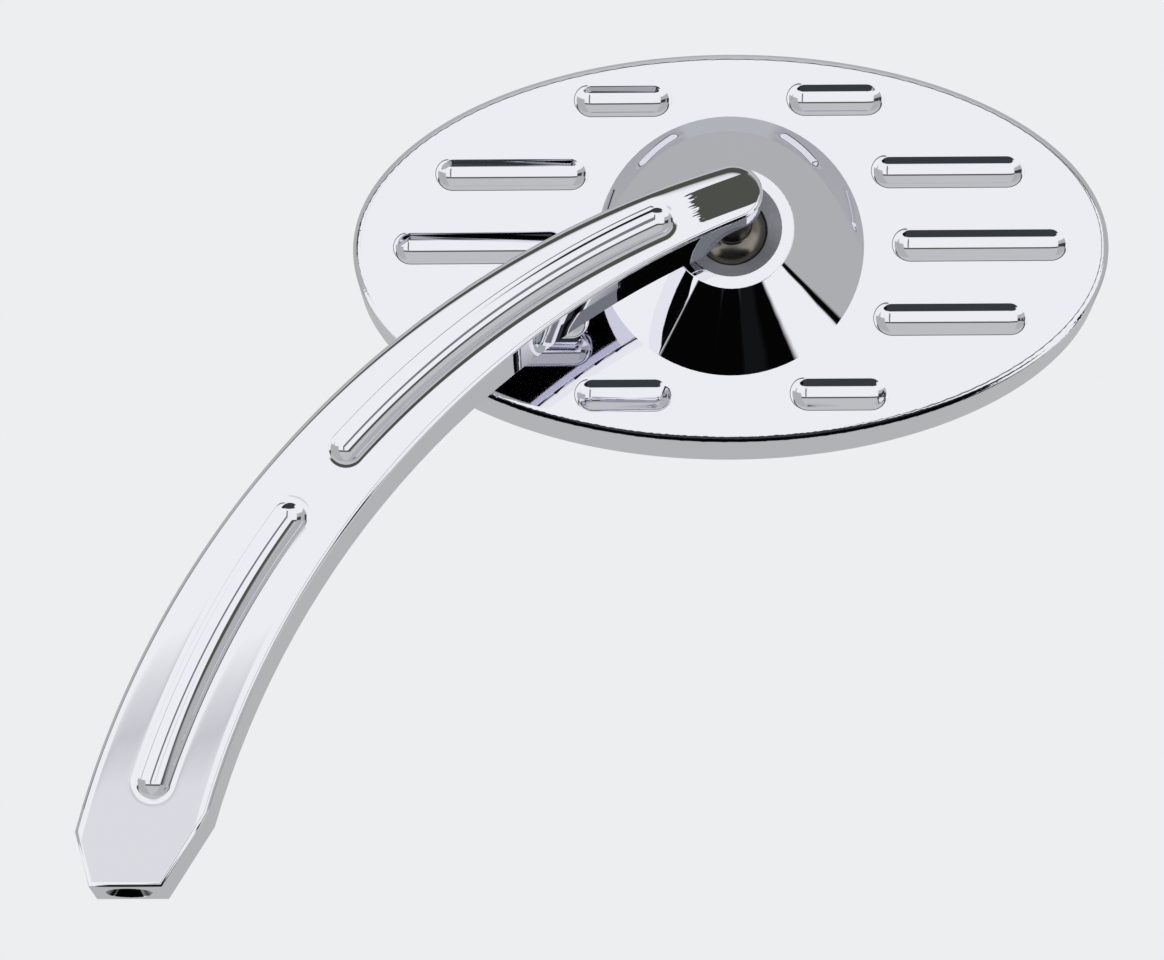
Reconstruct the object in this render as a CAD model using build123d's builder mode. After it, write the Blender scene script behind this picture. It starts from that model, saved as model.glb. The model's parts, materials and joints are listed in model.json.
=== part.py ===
from build123d import *
from math import acos, asin, cos, degrees, radians, sin, sqrt
import os

os.makedirs("parts", exist_ok=True)

# A motorcycle mirror as it stands on the handlebar, in millimetres.
# The origin is the mouth of the threaded hole in the arm's foot, +Z is up along the hole,
# +X runs out to the head, and the glass looks along +Y at the rider.

# Arm: a flat billet bar between two arcs, wide at the shoulder and narrow at the tip
arm_thickness = 13.7
arm_edge_radius = 0.8
tip_x = 114.5
tip_z = 136.6
tip_radius = 5.8
outer_arc_radius = 181.2
outer_arc_lean = 72.7
inner_arc_radius = 174.4
inner_arc_lean = 67.3
foot_width = 13.6
outer_shoulder_z = 10.5
inner_shoulder_z = 13.8

# Threaded hole in the foot, drawn at its tapping size
foot_hole_radius = 3.3
foot_hole_depth = 18.0
foot_hole_mouth_radius = 4.5

# Grooves, all cut with one ball-ended cutter
cutter_radius = 3.97
groove_depth = 1.4
groove_edge_radius = 2.0
lower_groove_angles = (145.2, 163.6)
upper_groove_angles = (115.2, 139.6)

# Relief behind the tip, which leaves a thin lug for the stud
lug_thickness = 6.0
relief_floor_radius = 6.4
relief_mouth_radius = 10.0
relief_corner_radius = 2.0
relief_edge_radius = 0.4

# Ball stud
ball_radius = 9.525
ball_reach = 27.35
neck_radius = 3.97
neck_fillet = 0.8
shank_radius = 3.2
shank_length = 4.3
shank_end_gap = 0.2
shoulder_gap = 0.1
running_clearance = 0.03
ball_clearance = 0.05

# Head: an oval cup, tipped back so that the glass looks up at the rider's eyes
head_tilt = 5.0
head_width = 153.0
head_height = 81.0
head_depth = 19.0
back_edge_radius = 1.7
rim_wall = 2.6
rim_edge_radius = 0.6
floor_thickness = 5.0
ledge_width = 3.0

# Cone in the middle of the back, with the ball seat inside it
cone_base_radius = 27.0
cone_top_radius = 12.5
cone_height = 14.2
back_face_drop = 5.4
ring_width = 2.45
ring_edge_radius = 0.3
boss_radius = 21.0

# Rows of grooves on the back: height of the row, and where it starts and ends each side
row_pitch = 15.35
outer_row_span = (11.5, 31.8)
middle_row_span = (28.5, 60.0)
centre_row_span = (32.5, 68.5)
head_rows = (
    (2, outer_row_span),
    (1, middle_row_span),
    (0, centre_row_span),
    (-1, middle_row_span),
    (-2, outer_row_span),
)

# Ball seat: a liner in front of the ball, and a sprung cup behind it
liner_opening_radius = 7.24
liner_dish = 2.15
liner_back_height = 3.0
cup_top_drop = 0.3
cup_wall = 1.9
cup_side_gap = 0.3
cup_hole_radius = 3.0

# Disc springs between the cup and the plate
spring_count = 2
spring_outer_radius = 12.4
spring_inner_radius = 6.4
spring_thickness = 0.7
spring_cone = 0.45
spring_gap = 0.02

# Plate that closes the seat, and its countersunk screws
plate_thickness = 2.5
plate_hole_radius = 5.0
screw_count = 4
screw_circle_radius = 17.3
screw_radius = 1.45
screw_head_radius = 2.9
screw_length = 8.0
screw_clearance = 0.15
tapped_clearance = 0.04
tapped_hole_spare = 1.0
screw_key_radius = 1.1
screw_key_depth = 1.0

# Glass and the foam band that it is stuck down on
glass_thickness = 3.0
glass_recess = 0.6
glass_gap = 0.35
glass_bevel = 0.4
pad_thickness = 1.2
pad_inset = 0.8
pad_width = 9.0

# Two places closer than this are the same place
same_place = 0.001

# Places that follow from the sizes above
tip_point = (tip_x, tip_z)
front_y = -arm_thickness / 2
back_y = arm_thickness / 2
lug_back_y = front_y + lug_thickness
ball_y = front_y + ball_reach
ball_centre = Vector(tip_x, ball_y, tip_z)
outer_rise = radians(outer_arc_lean)
inner_rise = radians(inner_arc_lean)
outer_centre = (
    tip_x + (outer_arc_radius - tip_radius) * cos(outer_rise),
    tip_z - (outer_arc_radius - tip_radius) * sin(outer_rise),
)
inner_centre = (
    tip_x + (inner_arc_radius + tip_radius) * cos(inner_rise),
    tip_z - (inner_arc_radius + tip_radius) * sin(inner_rise),
)
middle_centre = ((outer_centre[0] + inner_centre[0]) / 2, (outer_centre[1] + inner_centre[1]) / 2)
middle_radius = (outer_arc_radius + inner_arc_radius) / 2
cutter_lift = cutter_radius - groove_depth
edge_lift = cutter_lift + groove_edge_radius
groove_half_width = sqrt((cutter_radius + groove_edge_radius) ** 2 - edge_lift**2)

# The head's own plane lies through the ball's centre, its z axis out of the back
tilt = radians(head_tilt)
head_plane = Plane(origin=ball_centre, x_dir=(1, 0, 0), z_dir=(0, -cos(tilt), -sin(tilt)))
head_section = Plane(origin=ball_centre, x_dir=(1, 0, 0), z_dir=-head_plane.y_dir)
head_axis = Axis(ball_centre, head_plane.z_dir)
stud_section = Plane(origin=(tip_x, 0, tip_z), x_dir=(1, 0, 0), z_dir=(0, 0, 1))
stud_axis = Axis((tip_x, 0, tip_z), (0, 1, 0))
back_face = -back_face_drop
rim_face = back_face - head_depth
ring_face = back_face + cone_height
floor_face = back_face - floor_thickness
glass_front = rim_face + glass_recess
glass_back = glass_front + glass_thickness
ledge_face = glass_back + pad_thickness
recess_semi = (head_width / 2 - rim_wall, head_height / 2 - rim_wall)
pocket_semi = (recess_semi[0] - ledge_width, recess_semi[1] - ledge_width)
socket_radius = ball_radius + ball_clearance
seat_radius = sqrt((cone_top_radius - ring_width) ** 2 + ring_face**2)
liner_radius = seat_radius - ball_clearance
cup_radius = seat_radius - cup_side_gap
cup_back = -socket_radius - cup_wall
spring_height = spring_thickness + spring_cone
boss_face = cup_back - spring_count * spring_height - (spring_count + 1) * spring_gap
plate_back = boss_face - plate_thickness


def round_height(radius, across):
    """Height on a ball of that radius, at a distance across from its axis."""
    return sqrt(radius**2 - across**2)


def arc_angle(centre, radius, height):
    """Angle at which an arc on the left of its centre reaches a height."""
    return 180 - degrees(asin((height - centre[1]) / radius))


def groove_half(plane, across=0):
    """Right half of a groove's section: the cutter's round, then the polished-over edge."""
    centre = (across, cutter_lift)
    edge_centre = (across + groove_half_width, -groove_edge_radius)
    meet = degrees(asin(edge_lift / (cutter_radius + groove_edge_radius)))
    with BuildSketch(plane, mode=Mode.PRIVATE) as half:
        with BuildLine():
            CenterArc(centre, cutter_radius, -90, 90 - meet)
            edge = CenterArc(edge_centre, groove_edge_radius, 90, 90 - meet)
            Polyline(edge @ 0, (edge_centre[0], groove_depth), (across, groove_depth), (across, -groove_depth))
        make_face()
    return half.sketch


def groove_section(plane, across=0):
    """Whole section of a groove, across its middle line."""
    half = groove_half(plane, across)
    middle = Plane(origin=plane.from_local_coords((across, 0)), x_dir=plane.y_dir, z_dir=plane.x_dir)
    return half + mirror(half, about=middle, mode=Mode.PRIVATE)


# Cutter's paths over the arm: along its middle line, round at each end
with BuildPart() as arm_grooves:
    for first, last in (lower_groove_angles, upper_groove_angles):
        start = Vector(cos(radians(first)), 0, sin(radians(first)))
        along_start = start.cross(Vector(0, -1, 0))
        across_start = Plane(
            origin=(middle_centre[0], front_y, middle_centre[1]),
            x_dir=start,
            z_dir=along_start,
        )
        add(revolve(
            groove_section(across_start, middle_radius),
            axis=Axis((middle_centre[0], 0, middle_centre[1]), (0, -1, 0)),
            revolution_arc=last - first,
            mode=Mode.PRIVATE,
        ))
        for angle in (first, last):
            end_x = middle_centre[0] + middle_radius * cos(radians(angle))
            end_z = middle_centre[1] + middle_radius * sin(radians(angle))
            pit = Plane(origin=(end_x, front_y, end_z), x_dir=(1, 0, 0), z_dir=(0, 0, -1))
            add(revolve(groove_half(pit), axis=Axis((end_x, front_y, end_z), (0, 1, 0)), mode=Mode.PRIVATE))


# Arm
with BuildPart() as mirror_arm:
    with BuildSketch(Plane.XZ):
        with BuildLine():
            outer_start = 180 - outer_arc_lean
            outer_end = arc_angle(outer_centre, outer_arc_radius, outer_shoulder_z)
            outer_edge = CenterArc(outer_centre, outer_arc_radius, outer_start, outer_end - outer_start)
            inner_start = 180 - inner_arc_lean
            inner_end = arc_angle(inner_centre, inner_arc_radius, inner_shoulder_z)
            inner_edge = CenterArc(inner_centre, inner_arc_radius, inner_start, inner_end - inner_start)
            CenterArc(tip_point, tip_radius, -inner_arc_lean, outer_start + inner_arc_lean)
            Polyline(outer_edge @ 1, (-foot_width / 2, 0), (foot_width / 2, 0), inner_edge @ 1)
        make_face()
    extrude(amount=arm_thickness / 2, both=True)
    fillet(mirror_arm.faces().filter_by(Axis.Y).edges(), radius=arm_edge_radius)
    add(arm_grooves.part, mode=Mode.SUBTRACT)
    with BuildSketch(stud_section) as relief_half:
        with BuildLine():
            Polyline(
                (0, lug_back_y),
                (relief_floor_radius, lug_back_y),
                (relief_mouth_radius, back_y),
                (relief_mouth_radius, back_y + lug_thickness),
                (0, back_y + lug_thickness),
                close=True,
            )
        make_face()
        relief_corner = relief_half.vertices().sort_by_distance((relief_floor_radius, lug_back_y))[0]
        fillet(relief_corner, radius=relief_corner_radius)
        corner_arc = relief_half.edges().filter_by(GeomType.CIRCLE)[0]
        smooth_heights = ((corner_arc @ 0).Y, (corner_arc @ 1).Y)
    revolve(axis=stud_axis, mode=Mode.SUBTRACT)
    relief_outline = mirror_arm.edges(Select.NEW).filter_by(
        lambda edge: min(abs(edge.center().Y - height) for height in smooth_heights) > same_place
    )
    fillet(relief_outline, radius=relief_edge_radius)
    with BuildSketch(stud_section):
        with Locations((0, lug_back_y - shank_length - shank_end_gap)):
            Rectangle(
                shank_radius + running_clearance,
                shank_length + shank_end_gap + lug_thickness,
                align=(Align.MIN, Align.MIN),
            )
    revolve(axis=stud_axis, mode=Mode.SUBTRACT)
    with BuildSketch(Plane.XZ):
        with BuildLine():
            flare = foot_hole_mouth_radius - foot_hole_radius
            Polyline(
                (0, 0),
                (foot_hole_mouth_radius, 0),
                (foot_hole_radius, flare),
                (foot_hole_radius, foot_hole_depth),
                (0, foot_hole_depth + foot_hole_radius / 2),
                close=True,
            )
        make_face()
    revolve(axis=Axis.Z, mode=Mode.SUBTRACT)
mirror_arm.part.label = "mirror_arm"
export_step(mirror_arm.part, "parts/mirror_arm.step")

# Ball stud: ball, neck and shank turned in one piece
with BuildPart() as ball_stud:
    with BuildSketch(stud_section) as stud_half:
        with BuildLine():
            neck_meets_ball = ball_y - round_height(ball_radius, neck_radius)
            shank_end = lug_back_y - shank_length
            shoulder = lug_back_y + shoulder_gap
            neck_angle = degrees(asin(neck_radius / ball_radius))
            CenterArc((0, ball_y), ball_radius, neck_angle - 90, 180 - neck_angle)
            Polyline(
                (neck_radius, neck_meets_ball),
                (neck_radius, shoulder),
                (shank_radius, shoulder),
                (shank_radius, shank_end),
                (0, shank_end),
                (0, ball_y + ball_radius),
            )
        make_face()
        neck_corner = stud_half.vertices().sort_by_distance((neck_radius, neck_meets_ball))[0]
        fillet(neck_corner, radius=neck_fillet)
    revolve(axis=stud_axis)
ball_stud.part.label = "ball_stud"
export_step(ball_stud.part, "parts/ball_stud.step")

# Liner: a ring with a round bore for the ball and a round outside for the housing
with BuildPart() as ball_liner:
    with BuildSketch(head_section):
        with BuildLine():
            front_inner = (liner_opening_radius, ring_face - liner_dish)
            front_outer = (round_height(liner_radius, ring_face), ring_face)
            bore_top = degrees(asin(round_height(socket_radius, liner_opening_radius) / socket_radius))
            bore_bottom = degrees(asin(liner_back_height / socket_radius))
            side_top = degrees(asin(ring_face / liner_radius))
            side_bottom = degrees(asin(liner_back_height / liner_radius))
            bore = CenterArc((0, 0), socket_radius, bore_bottom, bore_top - bore_bottom)
            side = CenterArc((0, 0), liner_radius, side_bottom, side_top - side_bottom)
            Polyline(bore @ 1, front_inner, front_outer)
            Line(bore @ 0, side @ 0)
        make_face()
    revolve(axis=head_axis)
ball_liner.part.label = "ball_liner"
export_step(ball_liner.part, "parts/ball_liner.step")

# Cutter's passes over the back of the head, a mirrored pair in each row, and one pair more on each side
with BuildPart() as head_grooves:
    for row, (inside, outside) in head_rows:
        for side in (-1, 1):
            near_x = side * (inside + groove_half_width)
            far_x = side * (outside - groove_half_width)
            near = head_plane.from_local_coords((near_x, row * row_pitch, back_face))
            far = head_plane.from_local_coords((far_x, row * row_pitch, back_face))
            across_row = Plane(origin=near, x_dir=head_plane.y_dir, z_dir=head_plane.x_dir)
            add(extrude(groove_section(across_row), amount=far_x - near_x, mode=Mode.PRIVATE))
            for end in (near, far):
                pit = Plane(origin=end, x_dir=head_plane.x_dir, z_dir=-head_plane.y_dir)
                add(revolve(groove_half(pit), axis=Axis(end, head_plane.z_dir), mode=Mode.PRIVATE))

# Housing: an oval cup with the cone on its back and the seat bored through
with BuildPart() as mirror_housing:
    with BuildSketch(head_plane.offset(back_face)):
        Ellipse(head_width / 2, head_height / 2)
    extrude(amount=-head_depth)
    fillet(mirror_housing.edges().group_by(head_axis)[-1], radius=back_edge_radius)
    fillet(mirror_housing.edges().group_by(head_axis)[0], radius=rim_edge_radius)
    with BuildSketch(head_plane.offset(rim_face)):
        Ellipse(*recess_semi)
    extrude(amount=ledge_face - rim_face, mode=Mode.SUBTRACT)
    with BuildSketch(head_plane.offset(ledge_face)):
        Ellipse(*pocket_semi)
    extrude(amount=floor_face - ledge_face, mode=Mode.SUBTRACT)
    with BuildSketch(head_plane.offset(floor_face)):
        Circle(boss_radius)
    extrude(amount=boss_face - floor_face)
    with BuildSketch(head_section) as cone_half:
        with BuildLine():
            Polyline(
                (0, back_face - floor_thickness / 2),
                (cone_base_radius, back_face - floor_thickness / 2),
                (cone_base_radius, back_face),
                (cone_top_radius, ring_face),
                (0, ring_face),
                close=True,
            )
        make_face()
        ring_corner = cone_half.vertices().sort_by_distance((cone_top_radius, ring_face))[0]
        fillet(ring_corner, radius=ring_edge_radius)
    revolve(axis=head_axis)
    with BuildSketch(head_section):
        with BuildLine():
            seat_top = degrees(asin(ring_face / seat_radius))
            seat = CenterArc((0, 0), seat_radius, 0, seat_top)
            Polyline(
                seat @ 1,
                ((seat @ 1).X, ring_face + cone_height),
                (0, ring_face + cone_height),
                (0, boss_face),
                (seat_radius, boss_face),
                seat @ 0,
            )
        make_face()
    revolve(axis=head_axis, mode=Mode.SUBTRACT)
    with BuildSketch(head_plane.offset(boss_face)):
        with PolarLocations(screw_circle_radius, screw_count):
            Circle(screw_radius + tapped_clearance)
    extrude(amount=screw_length - plate_thickness + tapped_hole_spare, mode=Mode.SUBTRACT)
    add(head_grooves.part, mode=Mode.SUBTRACT)
mirror_housing.part.label = "mirror_housing"
export_step(mirror_housing.part, "parts/mirror_housing.step")

# Cup that the springs press against the back of the ball
with BuildPart() as pressure_cup:
    with BuildSketch(head_section):
        with BuildLine():
            rim_angle = degrees(asin(cup_top_drop / socket_radius))
            hole_angle = degrees(acos(cup_hole_radius / socket_radius))
            hollow = CenterArc((0, 0), socket_radius, -rim_angle, rim_angle - hole_angle)
            Polyline(
                hollow @ 0,
                (cup_radius, -cup_top_drop),
                (cup_radius, cup_back),
                (cup_hole_radius, cup_back),
                hollow @ 1,
            )
        make_face()
    revolve(axis=head_axis)
pressure_cup.part.label = "pressure_cup"
export_step(pressure_cup.part, "parts/pressure_cup.step")

# Disc springs, dished opposite ways so that they bear on each other at the rim
with BuildPart() as disc_springs:
    for turn in range(spring_count):
        top = cup_back - spring_gap - turn * (spring_height + spring_gap)
        inner_drop = spring_cone * (turn % 2)
        outer_drop = spring_cone - inner_drop
        with BuildSketch(head_section):
            with BuildLine():
                Polyline(
                    (spring_inner_radius, top - inner_drop),
                    (spring_outer_radius, top - outer_drop),
                    (spring_outer_radius, top - outer_drop - spring_thickness),
                    (spring_inner_radius, top - inner_drop - spring_thickness),
                    close=True,
                )
            make_face()
        revolve(axis=head_axis)
disc_springs.part.label = "disc_springs"
export_step(disc_springs.part, "parts/disc_springs.step")

# Plate that holds the springs in, screwed to the boss
with BuildPart() as retainer_plate:
    with BuildSketch(head_plane.offset(boss_face)):
        Circle(boss_radius)
        Circle(plate_hole_radius, mode=Mode.SUBTRACT)
    extrude(amount=-plate_thickness)
    plate_centre = head_plane.from_local_coords((0, 0, plate_back))
    with Locations(Plane(origin=plate_centre, x_dir=(1, 0, 0), z_dir=-head_plane.z_dir)):
        with PolarLocations(screw_circle_radius, screw_count):
            CounterSinkHole(screw_radius + screw_clearance, screw_head_radius + screw_clearance)
retainer_plate.part.label = "retainer_plate"
export_step(retainer_plate.part, "parts/retainer_plate.step")

# Countersunk screws with a hexagon key hole
with BuildPart() as retainer_screws:
    with BuildSketch(head_section):
        with BuildLine():
            Polyline(
                (screw_circle_radius, plate_back),
                (screw_circle_radius + screw_head_radius, plate_back),
                (screw_circle_radius + screw_radius, plate_back + screw_head_radius - screw_radius),
                (screw_circle_radius + screw_radius, plate_back + screw_length),
                (screw_circle_radius, plate_back + screw_length),
                close=True,
            )
        make_face()
    revolve(axis=Axis(head_plane.from_local_coords((screw_circle_radius, 0, 0)), head_plane.z_dir))
    with BuildSketch(head_plane.offset(plate_back)):
        with Locations((screw_circle_radius, 0)):
            RegularPolygon(screw_key_radius, 6)
    extrude(amount=screw_key_depth, mode=Mode.SUBTRACT)
    one_screw = retainer_screws.part
    for turn in range(1, screw_count):
        add(one_screw.rotate(head_axis, turn * 360 / screw_count))
retainer_screws.part.label = "retainer_screws"
export_step(retainer_screws.part, "parts/retainer_screws.step")

# Foam band under the edge of the glass
with BuildPart() as glass_pad:
    with BuildSketch(head_plane.offset(ledge_face)):
        Ellipse(recess_semi[0] - pad_inset, recess_semi[1] - pad_inset)
        Ellipse(
            recess_semi[0] - pad_inset - pad_width,
            recess_semi[1] - pad_inset - pad_width,
            mode=Mode.SUBTRACT,
        )
    extrude(amount=-pad_thickness)
glass_pad.part.label = "glass_pad"
export_step(glass_pad.part, "parts/glass_pad.step")

# Mirror glass, silvered behind, with a ground edge
with BuildPart() as mirror_glass:
    with BuildSketch(head_plane.offset(glass_back)):
        Ellipse(recess_semi[0] - glass_gap, recess_semi[1] - glass_gap)
    extrude(amount=-glass_thickness)
    chamfer(mirror_glass.edges().group_by(head_axis)[0], length=glass_bevel)
mirror_glass.part.label = "mirror_glass"
export_step(mirror_glass.part, "parts/mirror_glass.step")
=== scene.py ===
import bmesh
import bpy
import json
import math
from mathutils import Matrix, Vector


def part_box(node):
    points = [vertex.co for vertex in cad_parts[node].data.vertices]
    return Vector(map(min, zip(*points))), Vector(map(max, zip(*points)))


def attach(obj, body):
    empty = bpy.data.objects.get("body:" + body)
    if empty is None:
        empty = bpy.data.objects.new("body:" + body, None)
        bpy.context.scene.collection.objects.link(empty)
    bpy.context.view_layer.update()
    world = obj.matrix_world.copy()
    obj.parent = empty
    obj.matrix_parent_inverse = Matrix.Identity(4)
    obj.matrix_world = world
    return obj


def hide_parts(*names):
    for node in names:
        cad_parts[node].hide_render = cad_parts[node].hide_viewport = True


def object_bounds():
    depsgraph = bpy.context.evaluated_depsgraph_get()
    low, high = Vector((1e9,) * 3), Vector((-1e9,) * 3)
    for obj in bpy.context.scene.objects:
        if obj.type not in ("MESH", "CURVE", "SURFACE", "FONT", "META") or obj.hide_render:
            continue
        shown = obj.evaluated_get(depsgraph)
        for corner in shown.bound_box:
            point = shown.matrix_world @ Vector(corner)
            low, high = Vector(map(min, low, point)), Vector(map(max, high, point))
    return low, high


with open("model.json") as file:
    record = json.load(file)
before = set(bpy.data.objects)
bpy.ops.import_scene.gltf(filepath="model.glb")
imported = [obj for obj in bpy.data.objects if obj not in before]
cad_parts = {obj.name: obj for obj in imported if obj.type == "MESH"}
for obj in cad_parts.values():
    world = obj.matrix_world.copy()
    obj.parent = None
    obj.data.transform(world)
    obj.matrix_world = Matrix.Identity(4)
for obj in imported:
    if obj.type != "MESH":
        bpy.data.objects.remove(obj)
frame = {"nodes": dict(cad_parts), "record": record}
cadLow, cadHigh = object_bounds()
nodes = frame["nodes"]
joints = {joint["name"]: joint for joint in frame["record"]["behaviour"]["joints"]}
headAxis = Vector(joints["head_pan"]["axis"])  # the head's own upright line
headFacing = Vector((0, headAxis.z, -headAxis.y))  # the way its glass looks
scene = bpy.context.scene
print("frame loaded:", len(nodes), "nodes")

mm = 0.001


# colours are sRGB hex, and Blender wants them linear
def linear(hexCode):
    values = [int(hexCode[i:i + 2], 16) / 255 for i in (1, 3, 5)]
    return [v / 12.92 if v <= 0.04045 else ((v + 0.055) / 1.055) ** 2.4 for v in values] + [1.0]


# one node: settings are its own properties, values its open sockets, and links its wired ones,
# each from a socket or from another node's first output
def addNode(tree, kind, values=None, links=None, **settings):
    node = tree.nodes.new(kind)
    for name, value in settings.items():
        setattr(node, name, value)
    for socket, value in (values or {}).items():
        node.inputs[socket].default_value = value
    for socket, source in (links or {}).items():
        if isinstance(source, bpy.types.Node):
            source = source.outputs[0]
        tree.links.new(source, node.inputs[socket])
    return node


def newMaterial(name):
    mat = bpy.data.materials.new(name)
    mat.use_nodes = True
    mat.node_tree.nodes.clear()
    return mat, mat.node_tree


def dress(name, mat):
    slots = nodes[name].material_slots
    if not slots:
        nodes[name].data.materials.append(mat)
    for slot in slots:
        slot.link = "OBJECT"
        slot.material = mat


# worked out from the arm's end face, its two edges and the head's outline, about 0.8 m away
cameraSetup = {
    "sensor": 36,  # mm
    "lens": 129.9,
    "place": (0.09851, -0.77673, -0.14542),
    "azimuth": 1.0,
    "elevation": -16.2,
    "clipStart": 0.01,
}


def makeCamera(setup):
    data = bpy.data.cameras.new("camera")
    data.sensor_width = setup["sensor"]
    data.lens = setup["lens"]
    data.clip_start = setup["clipStart"]
    camera = bpy.data.objects.new("camera", data)
    scene.collection.objects.link(camera)
    camera.location = setup["place"]
    camera.rotation_euler = (math.radians(90 - setup["elevation"]), 0, math.radians(setup["azimuth"]))
    scene.camera = camera


makeCamera(cameraSetup)
print("camera set")

# chromium over polished aluminium: a clean mirror with a faint blue cast,
# and slow waves that the buffing wheel left
chromeValues = {
    "tint": "#ECECF3",
    "roughness": 0.012,
    "haze": 0.01,  # added to the roughness where it is thickest
    "hazeRange": (0.35, 0.75),  # the noise's values where it is clear and thickest
    "hazeLength": 14 * mm,
    "waveLength": 9 * mm,
    "waveHeight": 0.0008 * mm,
}


# the plate's haze, as roughness, and its waves, as height
def plateSurface(tree, place, values):
    haze = addNode(tree, "ShaderNodeTexNoise", values={"Scale": 1 / values["hazeLength"], "Detail": 3.0},
                   links={"Vector": place})
    clear, thickest = values["hazeRange"]
    rough = addNode(tree, "ShaderNodeMapRange", links={"Value": haze.outputs["Fac"]},
                    values={"From Min": clear, "From Max": thickest, "To Min": values["roughness"],
                            "To Max": values["roughness"] + values["haze"]})
    waves = addNode(tree, "ShaderNodeTexNoise", values={"Scale": 1 / values["waveLength"], "Detail": 1.0},
                    links={"Vector": place})
    height = addNode(tree, "ShaderNodeMath", values={1: values["waveHeight"]},
                     links={0: waves.outputs["Fac"]}, operation="MULTIPLY")
    return rough, height


def chromePlate(values):
    mat, tree = newMaterial("chrome plate")
    place = addNode(tree, "ShaderNodeTexCoord").outputs["Object"]
    rough, height = plateSurface(tree, place, values)
    bump = addNode(tree, "ShaderNodeBump", values={"Strength": 1.0, "Distance": 1.0},
                   links={"Height": height})
    bsdf = addNode(tree, "ShaderNodeBsdfPrincipled",
                   values={"Base Color": linear(values["tint"]), "Metallic": 1.0},
                   links={"Roughness": rough, "Normal": bump})
    addNode(tree, "ShaderNodeOutputMaterial", links={"Surface": bsdf})
    return mat


chrome = chromePlate(chromeValues)

# the arm's face as it was drawn, in mm on the x and z axes, and in degrees about the middle centre
armFace = {
    "outerCentre": (166.66, -30.865),
    "outerRadius": 181.2,
    "innerCentre": (184.04, -29.641),
    "innerRadius": 174.4,
    "middleCentre": (175.35, -30.253),
    "middleRadius": 177.8,
    "tipCentre": (114.5, 136.6),
    "tipRadius": 5.8,
    "tipAngle": 110.04,  # below it the tip's own arc counts as an edge
    "frontY": -6.85,
    "edgeRadius": 0.8,
    "shoulderTop": 14.6,
    "grooves": [(145.2, 163.6), (115.2, 139.6)],  # without their round ends
    "grooveHalfWidth": 3.84,  # across the rims
    "cutterRadius": 3.97,
    "rimRadius": 2.0,
    "boreRadius": 4.4,  # at the countersink
    "boreDepth": 18.5,
}
frontWay = (0, -1, 0)

# what the buffing wheel did along the arm's edges
buffing = {
    "edgeTilt": 4.5,  # degrees that the face is turned where its rounded edge starts
    "edgeReach": 0.53 * mm,
    "edgeSlack": 1.1,  # share of the edge's radius that its own normal covers
    "grooveTilt": 4.5,
    "grooveReach": 0.36 * mm,
    "rimWidth": 0.45 * mm,  # how far into a groove its rim keeps that tilt
    "frontShare": 0.3,  # a point past this share of the front's y is in front
    "tipTilt": 2.6,  # degrees that the tip's face leans back
    "tipEnd": (112.9, 112.3),  # degrees about the middle centre where that starts and is whole
    "tipLow": (-4.1, -3.7),  # and mm from the middle arc
    "tipHigh": (2.7, 2.3),
    "tipRagged": 0.45,  # degrees that streaks move its end
    "streakRange": (0.3, 0.7),  # the noise's values that move it least and most
    "streakLength": 2.5 * mm,
    "streakWidth": 0.4 * mm,
    "boreBareAndShadedTint": "#77797C",  # the plate hardly reaches into the threaded hole; this darker tint is that bare metal, and painted shade of the hole too
}


# the way from a centre to a point on the arm's face, and its length, in metres
def fromCentre(tree, face, centre):
    x, z = centre
    offset = addNode(tree, "ShaderNodeVectorMath", values={1: (x * mm, 0, z * mm)}, links={0: face},
                     operation="SUBTRACT")
    reach = addNode(tree, "ShaderNodeVectorMath", links={0: offset}, operation="LENGTH")
    return offset, reach.outputs["Value"]


# the same about the middle centre, with the angle in radians
def aboutMiddle(tree, face, shape):
    offset, reach = fromCentre(tree, face, shape["middleCentre"])
    parts = addNode(tree, "ShaderNodeSeparateXYZ", links={0: offset})
    turn = addNode(tree, "ShaderNodeMath", links={0: parts.outputs["Z"], 1: parts.outputs["X"]},
                   operation="ARCTAN2")
    return offset, reach, turn


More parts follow.
